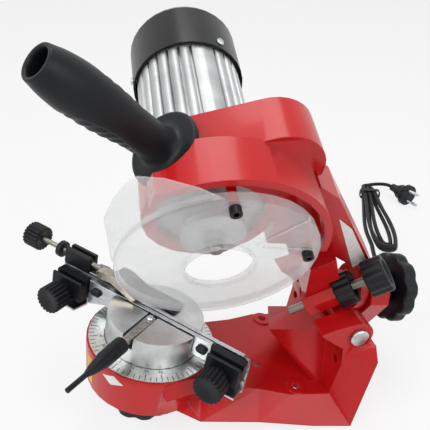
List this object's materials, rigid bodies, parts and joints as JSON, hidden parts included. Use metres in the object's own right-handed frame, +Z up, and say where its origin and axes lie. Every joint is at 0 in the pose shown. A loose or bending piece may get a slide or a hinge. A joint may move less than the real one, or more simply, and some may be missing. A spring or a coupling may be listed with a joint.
{
  "type": "electric chainsaw sharpener",
  "caption": "Bench chainsaw sharpener: tilting motor head with clear wheel guard and bar handle on a sprung swing arm, over a swivelling chain vise with angle scale, on a red cast base.",
  "frame": {"origin": "centre of the machine on the table, without its loose lead, under the lowest points on which it stands", "axes": "+Z up from the table; +X towards the wheel guard side; +Y towards the rear, where the swing arm pivots. The machine stands on its swivel knob and its rear edge, so its own base plane leans forward-up by about 12 degrees about X"},
  "size_m": [0.4679, 0.607, 0.3706],
  "materials": {
    "red_paint": "gloss",
    "motor_aluminium": "satin",
    "black_plastic": "satin",
    "zinc_plate": "satin",
    "turned_steel": "satin",
    "nickel_plate": "satin",
    "black_steel": "satin",
    "clear_plastic": "gloss",
    "scale_print": "satin",
    "stator_lamination": "matte",
    "black_rubber": "matte"
  },
  "bodies": {
    "base": {"base_casting": "red_paint", "scale_plate": "scale_print", "pivot_bolt": "turned_steel", "pivot_nut": "turned_steel", "cord_gland": "black_rubber", "cord": "black_rubber", "cord_hank": "black_rubber", "cord_tie": "black_plastic", "plug": "black_plastic"},
    "vise": {"turntable": "motor_aluminium", "swivel_bolt": "turned_steel", "rear_jaw": "zinc_plate", "left_block": "black_plastic", "right_block": "black_plastic", "left_bracket": "zinc_plate", "right_bracket": "zinc_plate", "slider_block": "black_plastic", "stop_bar": "black_steel", "stop_bar_screw": "black_steel"},
    "swivel_knob": {"swivel_knob": "black_plastic"},
    "front_jaw": {"front_jaw": "zinc_plate", "guide_pin_left": "black_plastic", "guide_pin_right": "black_plastic"},
    "clamp_lever": {"lever_arm": "turned_steel", "clamp_screw": "zinc_plate", "lever_grip": "black_plastic"},
    "left_knob": {"left_knob": "black_plastic"},
    "right_knob": {"right_knob": "black_plastic"},
    "pawl_screw": {"pawl_screw": "turned_steel"},
    "pawl_knob": {"pawl_knob": "black_plastic"},
    "pawl_lock_ring": {"pawl_lock_ring": "black_steel"},
    "pawl": {"pawl": "nickel_plate", "pawl_backing": "black_steel"},
    "swing": {"swing_bracket": "red_paint", "return_spring": "black_steel"},
    "head": {"head_casting": "red_paint", "tilt_bolt": "turned_steel", "front_shield": "motor_aluminium", "motor_body": "motor_aluminium", "rear_shield": "motor_aluminium", "stator_core": "stator_lamination", "front_bearing": "turned_steel", "rear_bearing": "turned_steel", "fan_cover": "black_plastic", "cover_screw_1": "zinc_plate", "cover_screw_2": "zinc_plate", "wheel_guard": "clear_plastic", "guard_screw_upper": "black_steel", "guard_screw_rear": "black_steel", "handle_grip": "black_plastic"},
    "rotor": {"rotor_core": "stator_lamination", "spindle": "turned_steel", "cooling_fan": "black_plastic", "wheel_flange": "motor_aluminium", "spindle_nut": "turned_steel"},
    "tilt_knob": {"tilt_knob": "black_plastic"},
    "depth_rod": {"depth_rod": "turned_steel"},
    "depth_knob": {"depth_knob": "black_plastic"},
    "depth_lock_knob": {"depth_lock_knob": "black_plastic"},
    "rocker": {"rocker_switch": "black_plastic"}
  },
  "joints": [
    {"name": "vise_swivel", "type": "hinge", "parent": "base", "child": "vise", "pos_m": [0.0506, -0.0862, 0.04012], "axis": [0, 0.2112, 0.9775], "range_deg": [-95, 5]},
    {"name": "swivel_knob_turn", "type": "hinge", "parent": "vise", "child": "swivel_knob", "pos_m": [0.0506, -0.0862, 0.04012], "axis": [0, 0.2112, 0.9775], "range_deg": [-180, 180]},
    {"name": "clamp_lever_lift", "type": "hinge", "parent": "vise", "child": "clamp_lever", "pos_m": [0.05828, -0.07873, 0.10859], "axis": [-0.682, -0.7149, 0.1544], "range_deg": [0, 12]},
    {"name": "jaw_slide", "type": "slide", "parent": "vise", "child": "front_jaw", "axis": [0.7314, -0.6666, 0.144], "range_m": [0, 0.0006]},
    {"name": "left_knob_turn", "type": "hinge", "parent": "vise", "child": "left_knob", "pos_m": [-0.01555, -0.14403, 0.10837], "axis": [-0.7314, 0.6666, -0.144], "range_deg": [-180, 180]},
    {"name": "right_knob_turn", "type": "hinge", "parent": "vise", "child": "right_knob", "pos_m": [0.10448, -0.01822, 0.08119], "axis": [-0.7314, 0.6666, -0.144], "range_deg": [-180, 180]},
    {"name": "pawl_slide", "type": "slide", "parent": "vise", "child": "pawl_screw", "axis": [0.682, 0.7149, -0.1544], "range_m": [-0.002, 0.002]},
    {"name": "pawl_knob_turn", "type": "hinge", "parent": "pawl_screw", "child": "pawl_knob", "pos_m": [-0.05351, -0.16902, 0.14241], "axis": [0.682, 0.7149, -0.1544], "range_deg": [-720, 720]},
    {"name": "pawl_lock_ring_turn", "type": "hinge", "parent": "pawl_screw", "child": "pawl_lock_ring", "pos_m": [-0.05351, -0.16902, 0.14241], "axis": [0.682, 0.7149, -0.1544], "range_deg": [-180, 180]},
    {"name": "pawl_flip", "type": "hinge", "parent": "pawl_screw", "child": "pawl", "pos_m": [0.00139, -0.11147, 0.12998], "axis": [0.7314, -0.6666, 0.144], "range_deg": [0, 60]},
    {"name": "arm_swing", "type": "hinge", "parent": "base", "child": "swing", "pos_m": [0.0506, 0.10568, 0.09484], "axis": [1, 0, 0], "range_deg": [0, 6.5], "stiffness_Nm_per_rad": 7.3, "springref_deg": -38.45},
    {"name": "head_tilt", "type": "hinge", "parent": "swing", "child": "head", "pos_m": [0.0506, -0.06361, 0.14471], "axis": [0, 0.9775, -0.2112], "range_deg": [-24.5, 3.5]},
    {"name": "tilt_knob_turn", "type": "hinge", "parent": "head", "child": "tilt_knob", "pos_m": [0.0506, -0.06361, 0.14471], "axis": [0, 0.9775, -0.2112], "range_deg": [-180, 180]},
    {"name": "rotor_spin", "type": "hinge", "parent": "head", "child": "rotor", "pos_m": [0.08383, -0.02478, 0.21077], "axis": [0.9097, -0.0877, -0.406], "continuous": true},
    {"name": "rocker_throw", "type": "hinge", "parent": "head", "child": "rocker", "pos_m": [0.06045, 0.02705, 0.28022], "axis": [0, 0.9775, -0.2112], "range_deg": [-9, 9]},
    {"name": "depth_slide", "type": "slide", "parent": "head", "child": "depth_rod", "axis": [0.3196, 0.7722, 0.5492], "range_m": [0, 0.008]},
    {"name": "depth_turn", "type": "hinge", "parent": "depth_rod", "child": "depth_knob", "pos_m": [0.06132, 0.05727, 0.09334], "axis": [0.3196, 0.7722, 0.5492], "range_deg": [0, 1922]},
    {"name": "depth_lock_turn", "type": "hinge", "parent": "head", "child": "depth_lock_knob", "pos_m": [0.06132, 0.05727, 0.09334], "axis": [0.3196, 0.7722, 0.5492], "range_deg": [-90, 90]}
  ],
  "couplings": [
    {"joint": "clamp_lever_lift", "follows": "jaw_slide", "rad_per_m": 348.72},
    {"joint": "pawl_knob_turn", "follows": "pawl_slide", "rad_per_m": 6276.9},
    {"joint": "depth_turn", "follows": "depth_slide", "rad_per_m": 4188.8}
  ]
}
